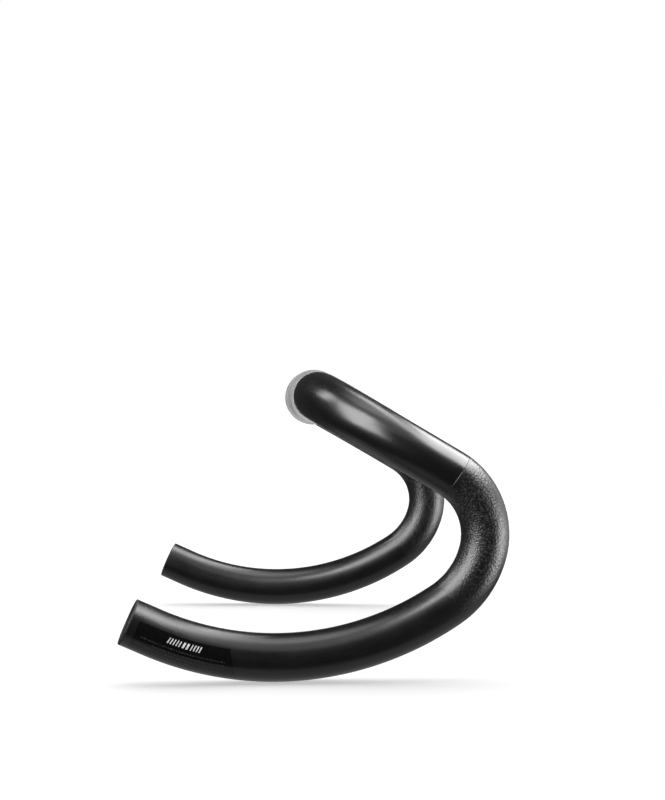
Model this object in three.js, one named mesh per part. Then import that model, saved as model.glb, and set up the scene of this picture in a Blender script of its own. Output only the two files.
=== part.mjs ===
// Drop handlebar for a road bicycle: a carbon bar bonded from three hollow mouldings, with its grip zones and
// decals. Millimetres. The origin is the centre of the stem clamp, +X runs along the clamp to the rider's left,
// -Y is forwards and +Z is up.
//
// Every piece is first made straight, along a tube, and is then bent onto the bar. A place on the bar is given by
// s, the length along its centreline from the middle (negative on the rider's right), by an angle round the tube
// (0 faces forwards and 90 degrees up at the clamp), and by a radius.
import * as THREE from "three";

// Driving dimensions of the bar
const CLAMP_DIAMETER = 31.8;
const TOPS_DIAMETER = 26.2;
const HOOK_DIAMETER = 24.2;
const CLAMP_WALL = 2.6;
const TUBE_WALL = 1.8;
const BULGE_HALF_LENGTH = 30;
const TAPER_END = 150;

const TOPS_HALF_LENGTH = 154;
const TOP_BEND_RADIUS = 56.5;
const RAMP_DROP = THREE.MathUtils.degToRad(30.5);
const HOOK_TOE_IN = THREE.MathUtils.degToRad(4.4);
const HOOK_LEAN = THREE.MathUtils.degToRad(1.2);
const RAMP_LENGTH = 14.5;
const HOOK_ARCS = [
  { radius: 36, turn: THREE.MathUtils.degToRad(75.5) },
  { radius: 45, turn: THREE.MathUtils.degToRad(40.5) },
  { radius: 153, turn: THREE.MathUtils.degToRad(57.5) },
];
const DROP_LENGTH = 13.5;

// Bonded joints, grip zones and decals
const JOINT_AT = 128;
const GLUE_LINE = 0.3;
const SLEEVE_HALF_LENGTH = 22;
const SLEEVE_WALL = 1.6;

const FILM = 0.12;
const FIRST_LAYER = 0.1;
const SECOND_LAYER = FIRST_LAYER + FILM + 0.1;

const STEM_BAND_HALF_WIDTH = 19;
const LEVER_BAND = [264.5, 338];

const FRONT_PANEL = { inner: 19.4, corner: 55, tip: 138, low: -3.5, tipLow: 54, high: 57 };
const STRIPES = [99, 102, 105];
const STRIPE = { width: 0.8, low: [12, 16.5, 21], high: 53, lean: 0.43 };
const MARK_BLOCKS = [12.5, 4.6, 8.4, 4.6, 9.8];
const MARKS = { start: 35, gap: 1.4, low: 18, high: 38, lean: 0.4 };

const LABEL = { front: 455.5, rear: 503, low: 84, high: 167, lean: 0.33 };
const LABEL_BLOCKS = [5, 3, 6.4];
const LABEL_HEADING = { start: 470, gap: 1.2, low: 144, high: 158, lean: 0.25 };
const LABEL_LINES = [132, 122, 112, 102];
const LABEL_LINE = { start: 457, lengths: [43, 36, 44, 30], height: 4 };

// Fineness of the facets
const TUBE_SIDES = 24;
const STATION_STEP = 14;
const BEND_STEP = THREE.MathUtils.degToRad(10);
const FILM_STATION_STEP = 9;
const FILM_DEGREES_STEP = 8;

const LEFT = 1;
const RIGHT = -1;
const DOWN = new THREE.Vector3(0, 0, -1);

// The centreline of one half, as straight runs and arcs. An arc turns about its axis.
function centrelineRuns() {
  const along = new THREE.Vector3(1, 0, 0);
  const ramp = new THREE.Vector3(
    -Math.sin(HOOK_TOE_IN),
    -Math.cos(HOOK_TOE_IN) * Math.cos(RAMP_DROP),
    -Math.cos(HOOK_TOE_IN) * Math.sin(RAMP_DROP),
  );
  const topBendAxis = along.clone().cross(ramp).normalize();
  const below = DOWN.clone().addScaledVector(ramp, -DOWN.dot(ramp)).normalize();
  const hookAxis = ramp.clone().cross(below.applyAxisAngle(ramp, -HOOK_LEAN));
  return [
    { length: TOPS_HALF_LENGTH },
    { length: TOP_BEND_RADIUS * along.angleTo(ramp), radius: TOP_BEND_RADIUS, axis: topBendAxis },
    { length: RAMP_LENGTH },
    ...HOOK_ARCS.map(({ radius, turn }) => ({ length: radius * turn, radius, axis: hookAxis })),
    { length: DROP_LENGTH },
  ];
}

const RUNS = centrelineRuns();
const HALF_LENGTH = RUNS.reduce((sum, run) => sum + run.length, 0);
const BEND_END = RUNS[0].length + RUNS[1].length;

// The centreline's point, and the rotation from the clamp to there, at a length from the middle.
function stationAt(length) {
  const point = new THREE.Vector3();
  const turn = new THREE.Quaternion();
  let left = length;
  for (const run of RUNS) {
    const step = Math.min(left, run.length);
    const along = new THREE.Vector3(1, 0, 0).applyQuaternion(turn);
    if (run.axis) {
      const bend = new THREE.Quaternion().setFromAxisAngle(run.axis, step / run.radius);
      const centre = run.axis.clone().cross(along).multiplyScalar(run.radius).add(point);
      point.sub(centre).applyQuaternion(bend).add(centre);
      turn.premultiply(bend);
    } else {
      point.addScaledVector(along, step);
    }
    left -= step;
  }
  return { point, turn };
}

// The point on the bar at s, an angle in radians, and a radius from the centreline.
function barPoint(s, angle, radius) {
  const { point, turn } = stationAt(Math.abs(s));
  const outward = new THREE.Vector3(0, -Math.cos(angle), Math.sin(angle)).applyQuaternion(turn);
  point.addScaledVector(outward, radius);
  if (s < 0) point.x *= -1;
  return point;
}

// The outer radius goes from the clamp's to the tops' along the bulge, and to the hook's along the first bend.
function outerRadius(s) {
  const bulge = THREE.MathUtils.smoothstep(Math.abs(s), BULGE_HALF_LENGTH, TAPER_END);
  const bend = THREE.MathUtils.smoothstep(Math.abs(s), TOPS_HALF_LENGTH, BEND_END);
  const tops = THREE.MathUtils.lerp(CLAMP_DIAMETER, TOPS_DIAMETER, bulge);
  return (tops - bend * (TOPS_DIAMETER - HOOK_DIAMETER)) / 2;
}

function boreRadius(s) {
  const bulge = THREE.MathUtils.smoothstep(Math.abs(s), BULGE_HALF_LENGTH, TAPER_END);
  return outerRadius(s) - THREE.MathUtils.lerp(CLAMP_WALL, TUBE_WALL, bulge);
}

// The lengths where a run or a lever band ends, and the step that a facet may take before each of them.
function breaks() {
  const ends = [];
  let end = 0;
  for (const run of RUNS) {
    const step = Math.min(STATION_STEP, run.axis ? run.radius * BEND_STEP : Infinity);
    const inside = LEVER_BAND.filter((s) => s > end && s < end + run.length);
    end += run.length;
    ends.push(...[...inside, end].map((s) => ({ s, step })));
  }
  return ends;
}

const BREAKS = breaks();

// Lengths from one place on a half of the bar to another, close enough together to follow its bends and tapers.
function stations(from, to) {
  const list = [from];
  for (const { s, step } of BREAKS) {
    const low = list.at(-1);
    const high = Math.min(s, to);
    const count = Math.ceil((high - low) / step);
    for (let i = 1; i <= count; i++) list.push(low + ((high - low) * i) / count);
  }
  return list;
}

const onSide = (side, list) => (side === LEFT ? list : list.map((s) => -s).reverse());

// A hollow tube, or a ring round one, turned as a straight wall and then bent onto the bar.
function tubeWall(list, inner, outer) {
  const outside = list.map((s) => new THREE.Vector2(outer(s), s));
  const inside = list.map((s) => new THREE.Vector2(inner(s), s)).reverse();
  const geometry = new THREE.LatheGeometry([...outside, ...inside, outside[0]], TUBE_SIDES);
  const places = geometry.getAttribute("position");
  for (let i = 0; i < places.count; i++) {
    const x = places.getX(i);
    const z = places.getZ(i);
    const point = barPoint(places.getY(i), Math.atan2(-x, z), Math.hypot(x, z));
    places.setXYZ(i, point.x, point.y, point.z);
  }
  return geometry;
}

// A film on the bar, from a box whose unit face is laid out by place(u, v) as { s, degrees }. length and
// degreesRound say how far it reaches each way.
function film(place, layer, length, degreesRound) {
  const alongSteps = Math.ceil(length / FILM_STATION_STEP);
  const roundSteps = Math.ceil(degreesRound / FILM_DEGREES_STEP);
  const geometry = new THREE.BoxGeometry(1, 1, 1, alongSteps, roundSteps, 1);
  const places = geometry.getAttribute("position");
  for (let i = 0; i < places.count; i++) {
    const { s, degrees } = place(places.getX(i) + 0.5, places.getY(i) + 0.5);
    const radius = outerRadius(s) + layer + (places.getZ(i) + 0.5) * FILM;
    const point = barPoint(s, THREE.MathUtils.degToRad(degrees), radius);
    places.setXYZ(i, point.x, point.y, point.z);
  }
  return geometry;
}

// A slanted block on the bar, which leans towards +s by `lean` for each millimetre round the tube.
function slantedBlock(from, to, low, high, lean) {
  const reach = THREE.MathUtils.degToRad(high - low) * outerRadius(from) * lean;
  const place = (u, v) => ({
    s: from + (to - from) * u + reach * v,
    degrees: low + (high - low) * v,
  });
  return film(place, SECOND_LAYER, to - from, high - low);
}

const materials = {
  satinCarbon: new THREE.MeshStandardMaterial({ color: 0x1b1c1e, roughness: 0.5 }),
  bareCarbon: new THREE.MeshStandardMaterial({ color: 0x141516, roughness: 0.6 }),
  gripTexture: new THREE.MeshStandardMaterial({ color: 0x2c2d2f, roughness: 0.9 }),
  leverTexture: new THREE.MeshStandardMaterial({ color: 0x1b1c1e, roughness: 0.6 }),
  glossPrint: new THREE.MeshStandardMaterial({ color: 0x050506, roughness: 0.1 }),
  whitePrint: new THREE.MeshStandardMaterial({ color: 0xe6e7e8, roughness: 0.4 }),
  greyPrint: new THREE.MeshStandardMaterial({ color: 0x4a4b4e, roughness: 0.4 }),
};

const bar = new THREE.Group();

function addPiece(name, geometry, material, group = bar) {
  const mesh = new THREE.Mesh(geometry, material);
  mesh.name = name;
  group.add(mesh);
}

function centreTube() {
  const end = JOINT_AT - GLUE_LINE / 2;
  const half = stations(0, end);
  const list = [...onSide(RIGHT, half), ...half.slice(1)];
  return tubeWall(list, boreRadius, outerRadius);
}

function dropTube(side) {
  const list = onSide(side, stations(JOINT_AT + GLUE_LINE / 2, HALF_LENGTH));
  return tubeWall(list, boreRadius, outerRadius);
}

function jointSleeve(side) {
  const list = onSide(side, stations(JOINT_AT - SLEEVE_HALF_LENGTH, JOINT_AT + SLEEVE_HALF_LENGTH));
  const outer = (s) => boreRadius(s) - GLUE_LINE;
  return tubeWall(list, (s) => outer(s) - SLEEVE_WALL, outer);
}

// A coat of grit round the tube.
function gripBand(list) {
  const inner = (s) => outerRadius(s) + FIRST_LAYER;
  return tubeWall(list, inner, (s) => inner(s) + FILM);
}

// The gloss panel beside the clamp: its lower edge runs level, then rises to a blunt tip high on the tube.
function frontPanel(side) {
  const { inner, corner, tip, low, tipLow, high } = FRONT_PANEL;
  const place = (u, v) => {
    const s = inner + (tip - inner) * (side === LEFT ? u : 1 - u);
    const rise = Math.max(0, (s - corner) / (tip - corner));
    const lower = low + (tipLow - low) * rise;
    return { s: side * s, degrees: lower + (high - lower) * v };
  };
  return film(place, FIRST_LAYER, tip - inner, high - low);
}

function stripe(side, index) {
  const from = side * STRIPES[index] - STRIPE.width / 2;
  const low = STRIPE.low[index];
  const rise = THREE.MathUtils.degToRad(STRIPE.high - low) * outerRadius(from) * STRIPE.lean;
  const bottom = from + side * rise;
  return slantedBlock(bottom, bottom + STRIPE.width, low, STRIPE.high, -side * STRIPE.lean);
}

// A row of slanted blocks: each block's start, counted from the row's start.
function blockStarts(blocks, gap) {
  return blocks.map((_, i) => blocks.slice(0, i).reduce((sum, length) => sum + length + gap, 0));
}

function addRow(prefix, row, blocks, side) {
  blockStarts(blocks, row.gap).forEach((start, i) => {
    const near = side * (row.start + start);
    const far = near + side * blocks[i];
    const geometry = slantedBlock(Math.min(near, far), Math.max(near, far), row.low, row.high, row.lean);
    addPiece(`${prefix}_${i + 1}`, geometry, materials.whitePrint);
  });
}

// The specification label on the outside of the right drop, with a slanted front end.
function labelPanel() {
  const { front, rear, low, high, lean } = LABEL;
  const reach = THREE.MathUtils.degToRad(high - low) * (HOOK_DIAMETER / 2) * lean;
  const place = (u, v) => ({
    s: -rear + (rear - front + reach * (1 - v)) * u,
    degrees: low + (high - low) * v,
  });
  return film(place, FIRST_LAYER, rear - front, high - low);
}

function labelLine(index) {
  const rear = -LABEL_LINE.start - LABEL_LINE.lengths[index];
  const low = LABEL_LINES[index];
  return slantedBlock(rear, -LABEL_LINE.start, low, low + LABEL_LINE.height, 0);
}

addPiece("centre_tube", centreTube(), materials.satinCarbon);
addPiece("stem_clamp_band", gripBand([-STEM_BAND_HALF_WIDTH, STEM_BAND_HALF_WIDTH]), materials.gripTexture);
for (const [name, side] of [["left", LEFT], ["right", RIGHT]]) {
  addPiece(`${name}_drop_tube`, dropTube(side), materials.satinCarbon);
  addPiece(`${name}_joint_sleeve`, jointSleeve(side), materials.bareCarbon);
  addPiece(`${name}_lever_band`, gripBand(onSide(side, stations(...LEVER_BAND))), materials.leverTexture);
  addPiece(`${name}_front_panel`, frontPanel(side), materials.glossPrint);
  STRIPES.forEach((_, i) => addPiece(`${name}_stripe_${i + 1}`, stripe(side, i), materials.whitePrint));
  addRow(`${name}_front_mark`, MARKS, MARK_BLOCKS, side);
}
addPiece("spec_label", labelPanel(), materials.glossPrint);
addRow("spec_heading", LABEL_HEADING, LABEL_BLOCKS, RIGHT);
LABEL_LINES.forEach((_, i) => addPiece(`spec_line_${i + 1}`, labelLine(i), materials.greyPrint));

export default bar;
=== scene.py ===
"""Looks of a road drop handlebar in Blender, in metres and in the frame of its CAD model.

Every piece is laid out along the bar, as in the CAD model: by s, the length along the centreline from the
middle (negative on the rider's right), by an angle round the tube (0 faces forwards and 90 degrees up at the
clamp) and by a radius. The sizes below are the CAD model's own, in metres.
"""
import itertools
import math
from types import SimpleNamespace

import bpy
import numpy as np
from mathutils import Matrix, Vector, noise


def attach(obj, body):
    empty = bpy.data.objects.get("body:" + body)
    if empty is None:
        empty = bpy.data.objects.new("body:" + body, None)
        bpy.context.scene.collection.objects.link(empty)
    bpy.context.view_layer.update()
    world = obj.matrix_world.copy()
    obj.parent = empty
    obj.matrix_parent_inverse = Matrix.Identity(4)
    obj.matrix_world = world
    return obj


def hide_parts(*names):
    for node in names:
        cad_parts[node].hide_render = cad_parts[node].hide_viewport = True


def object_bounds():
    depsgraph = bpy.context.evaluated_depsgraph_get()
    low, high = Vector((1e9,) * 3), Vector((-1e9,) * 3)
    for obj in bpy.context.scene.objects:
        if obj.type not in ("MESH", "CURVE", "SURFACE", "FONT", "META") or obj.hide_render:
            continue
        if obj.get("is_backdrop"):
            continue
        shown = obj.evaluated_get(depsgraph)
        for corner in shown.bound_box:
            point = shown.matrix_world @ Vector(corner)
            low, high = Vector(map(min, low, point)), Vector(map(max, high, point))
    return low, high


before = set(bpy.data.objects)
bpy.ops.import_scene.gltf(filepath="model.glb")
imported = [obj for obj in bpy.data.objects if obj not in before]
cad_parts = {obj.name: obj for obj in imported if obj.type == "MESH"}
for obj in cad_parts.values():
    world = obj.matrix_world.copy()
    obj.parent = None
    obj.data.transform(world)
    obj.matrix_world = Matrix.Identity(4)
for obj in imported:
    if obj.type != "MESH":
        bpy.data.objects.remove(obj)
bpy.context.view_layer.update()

# The bar
CLAMP_DIAMETER = 0.0318
TOPS_DIAMETER = 0.0262
HOOK_DIAMETER = 0.0242
CLAMP_WALL = 0.0026
TUBE_WALL = 0.0018
BULGE_HALF_LENGTH = 0.030
TAPER_END = 0.150

TOPS_HALF_LENGTH = 0.154
TOP_BEND_RADIUS = 0.0565
RAMP_DROP = math.radians(30.5)
HOOK_TOE_IN = math.radians(4.4)
HOOK_LEAN = math.radians(1.2)
RAMP_LENGTH = 0.0145
HOOK_ARCS = ((0.036, math.radians(75.5)), (0.045, math.radians(40.5)), (0.153, math.radians(57.5)))
DROP_LENGTH = 0.0135

# Bonded joints: the tubes are flush where they meet, so only a hairline shows
JOINT_AT = 0.128
HAIRLINE = 0.00002
GLUE_LINE = 0.0003
SLEEVE_HALF_LENGTH = 0.022
SLEEVE_WALL = 0.0016
SLEEVE_ROUNDING = 0.0003
END_ROUNDING = 0.0005
ROUNDING_STEPS = 4

# Grip zones and decals, as thin coats on the tubes
STEM_BAND_HALF_WIDTH = 0.019
LEVER_BAND = (0.2645, 0.338)
STEM_GRIT = SimpleNamespace(coat=0.00008, height=0.00010, size=0.0009, fade=0.0015)
LEVER_GRIT = SimpleNamespace(coat=0.00002, height=0.00012, size=0.0006, fade=0.012)
STIPPLE_FADE = 0.03

# Heights above the tube of a print's lower and upper face: of one on the tube, and of one on another print
FIRST_PRINT = (0.00001, 0.00003)
SECOND_PRINT = (0.00004, 0.00006)

FRONT_PANEL = SimpleNamespace(inner=0.0194, corner=0.055, tip=0.138, low=-3.5, tip_low=54, high=57)
STRIPES = (0.099, 0.102, 0.105)
STRIPE = SimpleNamespace(width=0.0008, low=(12, 16.5, 21), high=53, lean=0.43)
MARK_BLOCKS = (0.0125, 0.0046, 0.0084, 0.0046, 0.0098)
MARKS = SimpleNamespace(start=0.035, gap=0.0014, low=18, high=38, lean=0.4)

LABEL = SimpleNamespace(front=0.4555, rear=0.503, low=84, high=167, lean=0.33)
LABEL_BLOCKS = (0.005, 0.003, 0.0064)
LABEL_HEADING = SimpleNamespace(start=0.470, gap=0.0012, low=144, high=158, lean=0.25)
LABEL_LINES = (132, 122, 112, 102)
LABEL_LINE = SimpleNamespace(start=0.457, lengths=(0.043, 0.036, 0.044, 0.030), height=4)
HEADING_BAR = SimpleNamespace(width=0.0007, gap=0.0009)
DASHES = (0.0009, 0.0005, 0.0013, 0.0007, 0.0004, 0.0011, 0.0006)
DASH = SimpleNamespace(gap=0.0006, rows=2, fill=0.45, shift=3)

# Fineness of the meshes
TUBE_SIDES = 72
STATION_STEP = 0.002
GRIT_STEP = 0.0003
PRINT_STEP = 0.001

# Camera: level with the stem clamp, on the rider's right
CAMERA_PLACE = Vector((-1.31372, 0.02519, -0.00433))
CAMERA_YAW = math.radians(-91.614)
CAMERA_PITCH = math.radians(0.124)
CAMERA_LENS = 99.51

LEFT = 1
RIGHT = -1
DOWN = np.array([0.0, 0.0, -1.0])


# ---- The bar's own coordinates ----

def unit(vector):
    return vector / np.linalg.norm(vector)


def smoothstep(value, low, high):
    part = np.clip((value - low) / (high - low), 0, 1)
    return part * part * (3 - 2 * part)


def turned(vectors, axis, angles):
    """Each vector turned about the axis by its own angle."""
    cosine = np.cos(angles)[:, None]
    sine = np.sin(angles)[:, None]
    return vectors * cosine + np.cross(axis, vectors) * sine + np.outer(vectors @ axis, axis) * (1 - cosine)


def along_run(run, steps, offsets):
    """Points at steps into a run, each moved off the centreline by an offset in the run's own axes."""
    outward = offsets @ run.axes.T
    if run.bend_axis is None:
        return run.point + np.outer(steps, run.axes[:, 0]) + outward
    centre = run.point + run.radius * np.cross(run.bend_axis, run.axes[:, 0])
    return centre + turned(run.point - centre + outward, run.bend_axis, steps / run.radius)


def centreline_runs():
    """One half of the centreline: straight runs and arcs, each with the point and axes it starts from."""
    ramp = np.array([
        -math.sin(HOOK_TOE_IN),
        -math.cos(HOOK_TOE_IN) * math.cos(RAMP_DROP),
        -math.cos(HOOK_TOE_IN) * math.sin(RAMP_DROP),
    ])
    axes = np.eye(3)
    top_axis = unit(np.cross(axes[:, 0], ramp))
    top_turn = math.acos(axes[:, 0] @ ramp)
    below = unit(DOWN - ramp * (DOWN @ ramp))
    hook_axis = np.cross(ramp, turned(below[None], ramp, np.array([-HOOK_LEAN]))[0])

    plan = [(TOPS_HALF_LENGTH, None, None), (TOP_BEND_RADIUS * top_turn, TOP_BEND_RADIUS, top_axis)]
    plan += [(RAMP_LENGTH, None, None)]
    plan += [(radius * turn, radius, hook_axis) for radius, turn in HOOK_ARCS]
    plan += [(DROP_LENGTH, None, None)]

    runs = []
    point, start = np.zeros(3), 0.0
    for length, radius, bend_axis in plan:
        run = SimpleNamespace(start=start, point=point, axes=axes, radius=radius, bend_axis=bend_axis)
        runs.append(run)
        start += length
        point = along_run(run, np.array([length]), np.zeros((1, 3)))[0]
        if bend_axis is not None:
            axes = turned(axes.T, bend_axis, np.full(3, length / radius)).T
    return runs, start


RUNS, HALF_LENGTH = centreline_runs()
BEND_END = RUNS[2].start


def bar_points(s, angle, radius):
    """Points of the bar at lengths s, angles in radians and radii, given as arrays of one shape."""
    s, angle, radius = (np.ravel(values) for values in np.broadcast_arrays(s, angle, radius))
    offsets = np.stack([np.zeros(len(s)), -np.cos(angle) * radius, np.sin(angle) * radius], axis=1)
    points = np.empty((len(s), 3))
    length = np.abs(s)
    for run in RUNS:
        here = length >= run.start
        points[here] = along_run(run, length[here] - run.start, offsets[here])
    points[s < 0, 0] *= -1
    return points


def outer_radius(s):
    """From the clamp's to the tops' along the bulge, and to the hook's along the first bend."""
    bulge = smoothstep(np.abs(s), BULGE_HALF_LENGTH, TAPER_END)
    bend = smoothstep(np.abs(s), TOPS_HALF_LENGTH, BEND_END)
    tops = CLAMP_DIAMETER + (TOPS_DIAMETER - CLAMP_DIAMETER) * bulge
    return (tops - bend * (TOPS_DIAMETER - HOOK_DIAMETER)) / 2


def bore_radius(s):
    bulge = smoothstep(np.abs(s), BULGE_HALF_LENGTH, TAPER_END)
    return outer_radius(s) - (CLAMP_WALL + (TUBE_WALL - CLAMP_WALL) * bulge)


def stations(start, end, step):
    return np.linspace(start, end, max(2, round(abs(end - start) / step) + 1))


# ---- Meshes ----

def bent(s, angle, radius):
    """The bent and the straight place of each point of the bar."""
    s, angle, radius = (np.ravel(values) for values in np.broadcast_arrays(s, angle, radius))
    straight = np.stack([s, -np.cos(angle) * radius, np.sin(angle) * radius], axis=1)
    return bar_points(s, angle, radius), straight


def add_piece(name, points, straight, faces, materials, face_materials=0, flat=False):
    """A piece that replaces the CAD node of its name. straight is each point's place before the bar is bent,
    which its textures use. face_materials and flat say for each face which material it has, and whether it is
    shaded flat."""
    mesh = bpy.data.meshes.new(name)
    mesh.from_pydata(points.tolist(), [], faces.tolist())
    mesh.attributes.new("straight", "FLOAT_VECTOR", "POINT").data.foreach_set("vector", straight.ravel())
    for material in materials:
        mesh.materials.append(material)
    mesh.polygons.foreach_set("material_index", np.broadcast_to(face_materials, len(faces)).astype(np.int32))
    mesh.polygons.foreach_set("use_smooth", ~np.broadcast_to(flat, len(faces)))
    mesh.update()
    piece = bpy.data.objects.new(name + "_fine", mesh)
    bpy.context.scene.collection.objects.link(piece)
    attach(piece, "root")
    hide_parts(name)
    return piece


def ring_faces(rows, sides):
    """Quads round a ring whose rows close on themselves too. They face outwards where rows run along +s."""
    row, side = (index.ravel() for index in np.indices((rows, sides)))
    next_row, next_side = (row + 1) % rows, (side + 1) % sides
    places = [(row, side), (next_row, side), (next_row, next_side), (row, next_side)]
    return np.stack([of_row * sides + of_side for of_row, of_side in places], axis=1)


def rounded_corner(s, radius, rounding, first):
    """A quarter circle of an outline, from the direction `first` and turning from +radius towards +s."""
    turns = first - np.linspace(0, math.pi / 2, ROUNDING_STEPS + 1)
    return [(s + rounding * math.cos(turn), radius + rounding * math.sin(turn)) for turn in turns]


def wall_outline(start, end, inner, outer, roundings):
    """A tube wall's outline: along the outside, and then round the far end, the bore and the near end."""
    near, far = roundings
    first, last = start + 2 * near, end - 2 * far
    outside = [(s, outer(s)) for s in stations(first, last, STATION_STEP)]
    around = rounded_corner(end - far, outer(end) - far, far, math.pi / 2)
    around += rounded_corner(end - far, inner(end) + far, far, 0)
    around += [(s, inner(s)) for s in stations(last, first, STATION_STEP)]
    around += rounded_corner(start + near, inner(start) + near, near, -math.pi / 2)
    around += rounded_corner(start + near, outer(start) - near, near, math.pi)
    return outside, around


def add_tube(name, start, end, inner, outer, roundings, materials, slot):
    """A hollow tube. The last of its materials is on the cut ends and in the bore."""
    outside, around = wall_outline(start, end, inner, outer, roundings)
    outline = np.array(outside + around)
    angles = np.linspace(0, 2 * math.pi, TUBE_SIDES, endpoint=False)
    points, straight = bent(outline[:, :1], angles[None], outline[:, 1:])
    rows = np.repeat(np.arange(len(outline)), TUBE_SIDES)
    face_materials = np.where(rows < len(outside), 0, len(materials) - 1)
    faces = ring_faces(len(outline), TUBE_SIDES)
    return add_piece(name, points, straight, faces, materials, face_materials)


def grit_height(place, grit):
    """How far the grit stands up at a place of the straight bar: grains of mixed size, with flats between."""
    grains = noise.noise(place / grit.size) + 0.6 * noise.noise(place * 2.3 / grit.size)
    return grit.height * max(0.0, grains)


def add_grip_band(name, start, end, grit, material, slot):
    """A coat of grit round the tube, with real grains on its outside."""
    outside = [(s, grit.coat) for s in stations(start, end, GRIT_STEP)]
    inside = [(s, 0.0) for s in stations(end, start, STATION_STEP)]
    outline = np.array(outside + inside)
    radius = outer_radius(outline[:, :1]) + outline[:, 1:]
    sides = round(2 * math.pi * radius.max() / GRIT_STEP)
    angles = np.linspace(0, 2 * math.pi, sides, endpoint=False)[None]
    _, straight = bent(outline[:, :1], angles, radius)
    heights = np.array([grit_height(Vector(place), grit) for place in straight]).reshape(len(outline), sides)
    to_edge = np.minimum(outline[:, 0] - start, end - outline[:, 0])
    heights *= np.clip(to_edge / grit.fade, 0, 1)[:, None]
    heights[len(outside):] = 0
    points, straight = bent(outline[:, :1], angles, radius + heights)
    rows = np.repeat(np.arange(len(outline)), sides)
    walls = (rows == len(outside) - 1) | (rows == len(outline) - 1)
    return add_piece(name, points, straight, ring_faces(len(outline), sides), [material], flat=walls)


def film(place, layer, length, degrees):
    """A thin closed film on the tube: its points, their straight places, their normals and its faces.
    place(u, v) gives the s and the degrees of each point of a unit square."""
    along = max(2, round(length / PRINT_STEP) + 1)
    around = max(2, round(math.radians(degrees) * HOOK_DIAMETER / 2 / PRINT_STEP) + 1)
    u, v = np.meshgrid(np.linspace(0, 1, along), np.linspace(0, 1, around), indexing="ij")
    s, angle = place(u, v)
    angle = np.radians(angle)
    sheets = [bent(s, angle, outer_radius(s) + height) for height in layer]
    points = np.concatenate([sheet[0] for sheet in sheets])
    straight = np.concatenate([sheet[1] for sheet in sheets])
    outward = bar_points(s, angle, outer_radius(s) + PRINT_STEP) - bar_points(s, angle, outer_radius(s))
    normals = np.tile(outward / PRINT_STEP, (2, 1))

    index = np.arange(along * around).reshape(along, around)
    cells = [index[:-1, :-1], index[1:, :-1], index[1:, 1:], index[:-1, 1:]]
    under = np.stack([corner.ravel() for corner in cells[::-1]], axis=1)
    over = np.stack([corner.ravel() for corner in cells], axis=1) + index.size
    border = np.concatenate([index[:-1, 0], index[-1, :-1], index[:0:-1, -1], index[0, :0:-1]])
    following = np.roll(border, -1)
    rim = np.stack([border, following, following + index.size, border + index.size], axis=1)
    return points, straight, normals, np.concatenate([under, over, rim])


def add_print(name, films, material):
    """One piece made of one or more films, shaded as round as the tube under them."""
    points, straight, normals, faces = zip(*films)
    starts = np.cumsum([0] + [len(part) for part in points])
    faces = np.concatenate([part + start for part, start in zip(faces, starts)])
    points, straight, normals = (np.concatenate(parts) for parts in (points, straight, normals))
    piece = add_piece(name, points, straight, faces, [material])
    piece.data.normals_split_custom_set_from_vertices(normals.tolist())


def slanted_block(start, end, low, high, lean):
    """A block between two lengths and two angles. It leans towards +s by `lean` per metre round the tube."""
    reach = math.radians(high - low) * outer_radius(start) * lean
    return lambda u, v: (start + (end - start) * u + reach * v, low + (high - low) * v)


# ---- Materials ----

class Nodes:
    """Makes the nodes of one material. Inputs go by name or number, as values or as sockets to link."""

    def __init__(self, name):
        self.material = bpy.data.materials.new(name)
        self.material.use_nodes = True
        self.tree = self.material.node_tree
        self.shader = self.tree.nodes["Principled BSDF"]

    def node(self, kind, inputs=(), **settings):
        made = self.tree.nodes.new(kind)
        for key, value in settings.items():
            setattr(made, key, value)
        self.feed(made, inputs)
        return made

    def feed(self, node, inputs):
        for key, value in dict(inputs).items():
            if isinstance(value, bpy.types.NodeSocket):
                self.tree.links.new(value, node.inputs[key])
            else:
                node.inputs[key].default_value = value

    def place(self, stretch):
        """A point's place on the straight bar, per metre, with each axis stretched by its own factor."""
        straight = self.node("ShaderNodeAttribute", attribute_name="straight").outputs["Vector"]
        return self.node("ShaderNodeVectorMath", {0: straight, 1: stretch}, operation="MULTIPLY")

    def length(self):
        """A point's length along the bar from the middle."""
        split = self.node("ShaderNodeSeparateXYZ", {0: self.place((1, 1, 1)).outputs[0]})
        return self.node("ShaderNodeMath", {0: split.outputs["X"]}, operation="ABSOLUTE").outputs[0]

    def noise(self, stretch, detail=2.0, roughness=0.5):
        place = self.place(stretch)
        inputs = {"Vector": place.outputs[0], "Scale": 1.0, "Detail": detail, "Roughness": roughness}
        return self.node("ShaderNodeTexNoise", inputs).outputs["Fac"]

    def ramp(self, factor, low, high, values):
        """Maps a factor from low..high to the two values."""
        first, second = values
        inputs = {"Value": factor, "From Min": low, "From Max": high, "To Min": first, "To Max": second}
        return self.node("ShaderNodeMapRange", inputs).outputs[0]

    def mix(self, factor, first, second):
        mixer = self.node("ShaderNodeMix", data_type="RGBA")
        self.feed(mixer, {0: factor, 6: first, 7: second})
        return mixer.outputs[2]

    def bump(self, height, strength, distance):
        inputs = {"Height": height, "Strength": strength, "Distance": distance}
        return self.node("ShaderNodeBump", inputs).outputs["Normal"]


def grey(value, blue=0.0):
    """A neutral colour, made a little bluer by blue."""
    return (value, value, value * (1 + blue), 1.0)


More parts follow.
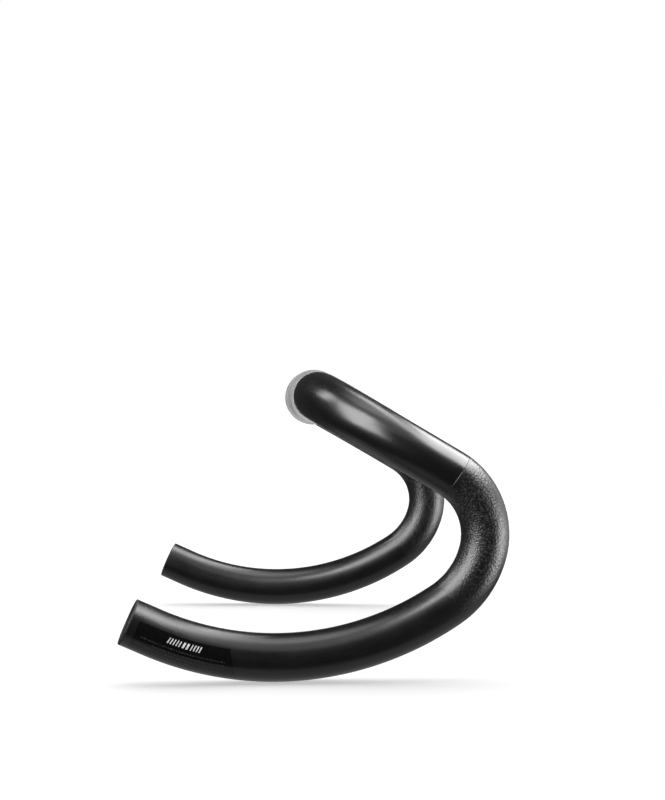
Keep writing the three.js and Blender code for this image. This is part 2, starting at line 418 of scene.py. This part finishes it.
def satin_carbon():
    """Satin clear coat over unidirectional carbon: almost black, with faint streaks along the bar."""
    nodes = Nodes("satin_carbon")
    streaks = nodes.noise((60, 1500, 1500), detail=3)
    clouds = nodes.noise((90, 90, 90))
    grain = nodes.noise((2600, 2600, 2600), detail=1)
    nodes.feed(nodes.shader, {
        "Base Color": nodes.mix(nodes.ramp(streaks, 0.35, 0.65, (0, 1)), grey(0.001, 0.1), grey(0.002, 0.12)),
        "Roughness": nodes.ramp(clouds, 0.3, 0.7, (0.26, 0.31)),
        "Normal": nodes.bump(grain, 0.08, 0.00002),
        "IOR": 1.5,
    })
    return nodes.material


def bare_carbon():
    """Uncoated moulded and cut carbon, in the bore and on the cut ends."""
    nodes = Nodes("bare_carbon")
    streaks = nodes.noise((120, 2200, 2200), detail=4)
    nodes.feed(nodes.shader, {
        "Base Color": nodes.mix(streaks, grey(0.003), grey(0.007)),
        "Roughness": nodes.ramp(streaks, 0.3, 0.7, (0.55, 0.75)),
        "Normal": nodes.bump(streaks, 0.4, 0.00005),
        "Specular IOR Level": 0.3,
    })
    return nodes.material


def grip_texture():
    """Grit paint: matte, mottled, with fine grains under the modelled ones."""
    nodes = Nodes("grip_texture")
    mottle = nodes.noise((420, 420, 420), detail=5, roughness=0.65)
    grains = nodes.noise((2800, 2800, 2800), detail=2)
    nodes.feed(nodes.shader, {
        "Base Color": nodes.mix(nodes.ramp(mottle, 0.3, 0.7, (0, 1)), grey(0.008, 0.05), grey(0.02, 0.05)),
        "Roughness": nodes.ramp(grains, 0.3, 0.7, (0.5, 0.8)),
        "Normal": nodes.bump(grains, 0.7, 0.00012),
        "Specular IOR Level": 0.3,
    })
    return nodes.material


def lever_texture():
    """Fine stipple in the bar's own satin black, with specks painted lighter as painted glints of the grit;
    it fades towards both ends of its band.
    """
    nodes = Nodes("lever_texture")
    specks = nodes.noise((1000, 1000, 1000), detail=2)
    length = nodes.length()
    near = nodes.ramp(length, LEVER_BAND[0], LEVER_BAND[0] + STIPPLE_FADE / 4, (0.1, 0.9))
    far = nodes.ramp(length, LEVER_BAND[1] - STIPPLE_FADE, LEVER_BAND[1], (0.9, 0.1))
    depth = nodes.node("ShaderNodeMath", {0: near, 1: far}, operation="MINIMUM").outputs[0]
    # Painted glints: the specks' colour is lightened to stand in for glints off the grit, most in the middle
    # of the band
    painted_glint_colour = nodes.mix(nodes.ramp(depth, 0.1, 0.9, (0, 1)), grey(0.002, 0.05), grey(0.011, 0.05))
    nodes.feed(nodes.shader, {
        "Base Color": nodes.mix(nodes.ramp(specks, 0.5, 0.62, (0, 1)), grey(0.001, 0.05), painted_glint_colour),
        "Roughness": nodes.ramp(specks, 0.3, 0.7, (0.28, 0.4)),
        "Normal": nodes.bump(specks, depth, 0.00028),
        "IOR": 1.5,
    })
    return nodes.material


def gloss_print():
    """Gloss black film with a trace of orange peel."""
    nodes = Nodes("gloss_print")
    peel = nodes.noise((380, 380, 380), detail=1)
    nodes.feed(nodes.shader, {
        "Base Color": nodes.mix(peel, grey(0.0006), grey(0.0012)),
        "Roughness": nodes.ramp(peel, 0.3, 0.7, (0.16, 0.2)),
        "Normal": nodes.bump(peel, 0.15, 0.00002),
        "Specular IOR Level": 0.4,
    })
    return nodes.material


def ink(name, low, high, roughness):
    """Printed ink, slightly uneven in tone."""
    nodes = Nodes(name)
    blotches = nodes.noise((900, 900, 900), detail=4)
    nodes.feed(nodes.shader, {
        "Base Color": nodes.mix(nodes.ramp(blotches, 0.35, 0.65, (0, 1)), low, high),
        "Roughness": nodes.ramp(blotches, 0.3, 0.7, (roughness, roughness + 0.1)),
        "Normal": nodes.bump(blotches, 0.2, 0.00001),
    })
    return nodes.material


def pale_floor():
    """A pale light table, which glows a little, so that shadows on it stay soft."""
    nodes = Nodes("pale_floor")
    clouds = nodes.noise((3, 3, 3))
    nodes.feed(nodes.shader, {
        "Base Color": nodes.mix(clouds, grey(0.82), grey(0.84)),
        "Roughness": nodes.ramp(clouds, 0.3, 0.7, (0.85, 0.95)),
        "Specular IOR Level": 0.2,
        "Emission Color": grey(1.0),
        "Emission Strength": 0.48,
    })
    return nodes.material


# ---- The bar ----

SATIN = satin_carbon()
BARE = bare_carbon()
GRIP = grip_texture()
STIPPLE = lever_texture()
GLOSS = gloss_print()
WHITE = ink("white_print", grey(0.6), grey(0.75), 0.3)
HEADING = ink("heading_print", grey(0.2), grey(0.32), 0.4)
GREY = ink("grey_print", (0.006, 0.0065, 0.005, 1.0), (0.026, 0.027, 0.022, 1.0), 0.45)


def on_side(side, near, far):
    """The two ends of a stretch on one side of the bar, in the order of s."""
    return (near, far) if side == LEFT else (-far, -near)


def add_front_panel(name, side):
    """The gloss panel beside the clamp. Its lower edge runs level, then rises to a blunt tip."""
    panel = FRONT_PANEL

    def place(u, v):
        length = panel.inner + (panel.tip - panel.inner) * (u if side == LEFT else 1 - u)
        rise = np.clip((length - panel.corner) / (panel.tip - panel.corner), 0, 1)
        lower = panel.low + (panel.tip_low - panel.low) * rise
        return side * length, lower + (panel.high - lower) * v

    sheet = film(place, FIRST_PRINT, panel.tip - panel.inner, panel.high - panel.low)
    add_print(name, [sheet], GLOSS)


def add_stripe(name, side, index):
    near = side * STRIPES[index] - STRIPE.width / 2
    low = STRIPE.low[index]
    bottom = near + side * math.radians(STRIPE.high - low) * outer_radius(near) * STRIPE.lean
    place = slanted_block(bottom, bottom + STRIPE.width, low, STRIPE.high, -side * STRIPE.lean)
    add_print(name, [film(place, SECOND_PRINT, STRIPE.width, STRIPE.high - low)], WHITE)


def add_row(prefix, row, blocks, side, split, material):
    """A row of slanted blocks outwards from its start. split(start, end) lists the bars of one block."""
    start = row.start
    for number, length in enumerate(blocks, 1):
        bars = [on_side(side, *ends) for ends in split(start, start + length)]
        places = [slanted_block(*ends, row.low, row.high, row.lean) for ends in bars]
        films = [film(place, SECOND_PRINT, length / len(bars), row.high - row.low) for place in places]
        add_print(f"{prefix}_{number}", films, material)
        start += length + row.gap


def whole(start, end):
    return [(start, end)]


def narrow_bars(start, end):
    """Even narrow bars that fill a block, with gaps between them."""
    count = round((end - start + HEADING_BAR.gap) / (HEADING_BAR.width + HEADING_BAR.gap))
    pitch = (end - start + HEADING_BAR.gap) / count
    return [(start + pitch * k, start + pitch * (k + 1) - HEADING_BAR.gap) for k in range(count)]


def row_of_dashes(first, length):
    """The ends of each dash in a row. Their lengths repeat DASHES, beginning with the one at index first."""
    dashes = []
    start = LABEL_LINE.start
    for number in itertools.count(first):
        end = start + DASHES[number % len(DASHES)]
        if end >= LABEL_LINE.start + length:
            return dashes
        dashes.append((start, end))
        start = end + DASH.gap


def small_print(number, low, length):
    """A line of the label's small print: rows of short dashes of mixed lengths, which say nothing."""
    height = LABEL_LINE.height / DASH.rows
    films = []
    for row in range(DASH.rows):
        bottom = low + height * row
        for dash in row_of_dashes(number + DASH.shift * row, length):
            place = slanted_block(*on_side(RIGHT, *dash), bottom, bottom + height * DASH.fill, 0)
            films.append(film(place, SECOND_PRINT, dash[1] - dash[0], height))
    return films


def add_label():
    """The specification label on the outside of the right drop, with a slanted front end."""
    reach = math.radians(LABEL.high - LABEL.low) * (HOOK_DIAMETER / 2) * LABEL.lean

    def place(u, v):
        length = LABEL.rear - LABEL.front + reach * (1 - v)
        return -LABEL.rear + length * u, LABEL.low + (LABEL.high - LABEL.low) * v

    sheet = film(place, FIRST_PRINT, LABEL.rear - LABEL.front, LABEL.high - LABEL.low)
    add_print("spec_label", [sheet], GLOSS)
    add_row("spec_heading", LABEL_HEADING, LABEL_BLOCKS, RIGHT, narrow_bars, HEADING)
    for number, (low, length) in enumerate(zip(LABEL_LINES, LABEL_LINE.lengths), 1):
        add_print(f"spec_line_{number}", small_print(number, low, length), GREY)


def sleeve_radius(s):
    return bore_radius(s) - GLUE_LINE


def sleeve_bore(s):
    return sleeve_radius(s) - SLEEVE_WALL


add_tube("centre_tube", -JOINT_AT + HAIRLINE / 2, JOINT_AT - HAIRLINE / 2, bore_radius, outer_radius,
         (HAIRLINE, HAIRLINE), [SATIN, BARE], "satin_carbon")
add_grip_band("stem_clamp_band", -STEM_BAND_HALF_WIDTH, STEM_BAND_HALF_WIDTH, STEM_GRIT, GRIP, "grip_texture")
for side_name, side in (("left", LEFT), ("right", RIGHT)):
    tube_ends = on_side(side, JOINT_AT + HAIRLINE / 2, HALF_LENGTH)
    tube_roundings = (HAIRLINE, END_ROUNDING) if side == LEFT else (END_ROUNDING, HAIRLINE)
    add_tube(f"{side_name}_drop_tube", *tube_ends, bore_radius, outer_radius, tube_roundings, [SATIN, BARE],
             "satin_carbon")
    sleeve_ends = on_side(side, JOINT_AT - SLEEVE_HALF_LENGTH, JOINT_AT + SLEEVE_HALF_LENGTH)
    add_tube(f"{side_name}_joint_sleeve", *sleeve_ends, sleeve_bore, sleeve_radius,
             (SLEEVE_ROUNDING, SLEEVE_ROUNDING), [BARE], "bare_carbon")
    band_ends = on_side(side, *LEVER_BAND)
    add_grip_band(f"{side_name}_lever_band", *band_ends, LEVER_GRIT, STIPPLE, "lever_texture")
    add_front_panel(f"{side_name}_front_panel", side)
    for index in range(len(STRIPES)):
        add_stripe(f"{side_name}_stripe_{index + 1}", side, index)
    add_row(f"{side_name}_front_mark", MARKS, MARK_BLOCKS, side, whole, WHITE)
add_label()


# ---- Stage, light and camera ----

FLOOR_RADIUS = 60.0
FLOOR_SIDES = 64
BACKGROUND = 1.0
SURROUNDINGS = 0.06
LAMP_DISTANCE = 4.0
BAR_CENTRE = Vector((0, 0, 0))
BACKDROP = SimpleNamespace(azimuth=91, elevation=0, radiance=3.2, inner=5, outer=10)


def toward(azimuth, elevation):
    """A direction from the bar, with azimuth 0 along +Y and 90 along +X."""
    azimuth, elevation = math.radians(azimuth), math.radians(elevation)
    level = math.cos(elevation)
    return Vector((math.sin(azimuth) * level, math.cos(azimuth) * level, math.sin(elevation)))


def add_floor():
    """A pale floor under the bar. Glossy rays miss it and light passes through it, so that the dimmer lamp
    floor_glow lights the bar's underside in its place."""
    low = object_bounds()[0].z
    mesh = bpy.data.meshes.new("floor")
    turns = np.linspace(0, 2 * math.pi, FLOOR_SIDES, endpoint=False)
    heights = np.full(FLOOR_SIDES, low)
    rim = np.stack([FLOOR_RADIUS * np.cos(turns), FLOOR_RADIUS * np.sin(turns), heights], axis=1)
    mesh.from_pydata(rim.tolist(), [], [list(range(FLOOR_SIDES))])
    mesh.attributes.new("straight", "FLOAT_VECTOR", "POINT").data.foreach_set("vector", rim.ravel())
    mesh.materials.append(pale_floor())
    floor = bpy.data.objects.new("floor", mesh)
    floor.visible_glossy = False
    floor.visible_shadow = False
    bpy.context.scene.collection.objects.link(floor)
    floor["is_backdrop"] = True
    return floor


def light_group(name, state):
    """What a lamp lights: the floor alone, for the state INCLUDE, or all but the floor, for EXCLUDE."""
    group = bpy.data.collections.new(name)
    group.objects.link(FLOOR)
    group.collection_objects[0].light_linking.link_state = state
    return group


def add_lamp(name, light, lit, place):
    lamp = bpy.data.objects.new(name, light)
    lamp.location = place
    lamp.rotation_euler = (BAR_CENTRE - place).to_track_quat("-Z", "Y").to_euler()
    lamp.visible_camera = False
    lamp.light_linking.receiver_collection = lit
    bpy.context.scene.collection.objects.link(lamp)


def add_softbox(name, azimuth, elevation, width, height, radiance):
    light = bpy.data.lights.new(name, "AREA")
    light.shape = "RECTANGLE"
    light.size, light.size_y = width, height
    light.energy = radiance * math.pi * width * height
    add_lamp(name, light, BAR_ONLY, toward(azimuth, elevation) * LAMP_DISTANCE)


def add_dome(name, lit, azimuth, elevation, spread, irradiance):
    """A wide soft light from far away, so that what it lights is equally bright all over."""
    light = bpy.data.lights.new(name, "SUN")
    light.angle = math.radians(spread)
    light.energy = irradiance
    add_lamp(name, light, lit, toward(azimuth, elevation))


def set_world():
    """White behind the bar to the eye, and dim surroundings in its reflections, but for a white backdrop
    on the rider's left."""
    world = bpy.data.worlds.new("studio")
    world.use_nodes = True
    bpy.context.scene.world = world
    tree = world.node_tree
    background = tree.nodes["Background"]
    place = tree.nodes.new("ShaderNodeTexCoord")
    along = tree.nodes.new("ShaderNodeVectorMath")
    along.operation = "DOT_PRODUCT"
    along.inputs[1].default_value = toward(BACKDROP.azimuth, BACKDROP.elevation)
    backdrop = tree.nodes.new("ShaderNodeMapRange")
    backdrop.interpolation_type = "SMOOTHSTEP"
    path = tree.nodes.new("ShaderNodeLightPath")
    mixer = tree.nodes.new("ShaderNodeMapRange")
    backdrop.inputs["From Min"].default_value = math.cos(math.radians(BACKDROP.outer))
    backdrop.inputs["From Max"].default_value = math.cos(math.radians(BACKDROP.inner))
    backdrop.inputs["To Min"].default_value = SURROUNDINGS
    backdrop.inputs["To Max"].default_value = BACKDROP.radiance
    mixer.inputs["To Max"].default_value = BACKGROUND
    tree.links.new(place.outputs["Generated"], along.inputs[0])
    tree.links.new(along.outputs["Value"], backdrop.inputs["Value"])
    tree.links.new(backdrop.outputs[0], mixer.inputs["To Min"])
    tree.links.new(path.outputs["Is Camera Ray"], mixer.inputs["Value"])
    tree.links.new(mixer.outputs[0], background.inputs["Strength"])
    background.inputs["Color"].default_value = grey(1.0)


def add_camera():
    camera = bpy.data.objects.new("camera", bpy.data.cameras.new("camera"))
    camera.data.sensor_width = 36
    camera.data.lens = CAMERA_LENS
    camera.location = CAMERA_PLACE
    camera.rotation_euler = (math.pi / 2 + CAMERA_PITCH, 0, CAMERA_YAW)
    bpy.context.scene.collection.objects.link(camera)
    bpy.context.scene.camera = camera


FLOOR = add_floor()
FLOOR_ONLY = light_group("floor_only", "INCLUDE")
BAR_ONLY = light_group("bar_only", "EXCLUDE")
add_dome("floor_light", FLOOR_ONLY, 90, 50, 104, 2.85)
add_dome("floor_glow", BAR_ONLY, 90, -75, 100, 0.75)
add_dome("sky", BAR_ONLY, 0, 90, 34, 0.7)
add_dome("camera_fill", BAR_ONLY, 270, 62, 56, 0.7)
add_softbox("front_box", 179, 47, 5.2, 1.7, 15.5)
add_softbox("top_box", 160, 70, 4.2, 0.9, 8.5)
add_softbox("fill_box", 165, 8, 5.5, 3.6, 1.5)
add_softbox("low_box", 190, -10, 2.6, 2.4, 10)
add_softbox("back_box", 320, 27, 3.0, 4.0, 12)
add_softbox("back_box_2", 11, 42, 0.9, 1.6, 12)
set_world()
add_camera()
bpy.context.scene.view_settings.view_transform = "Standard"
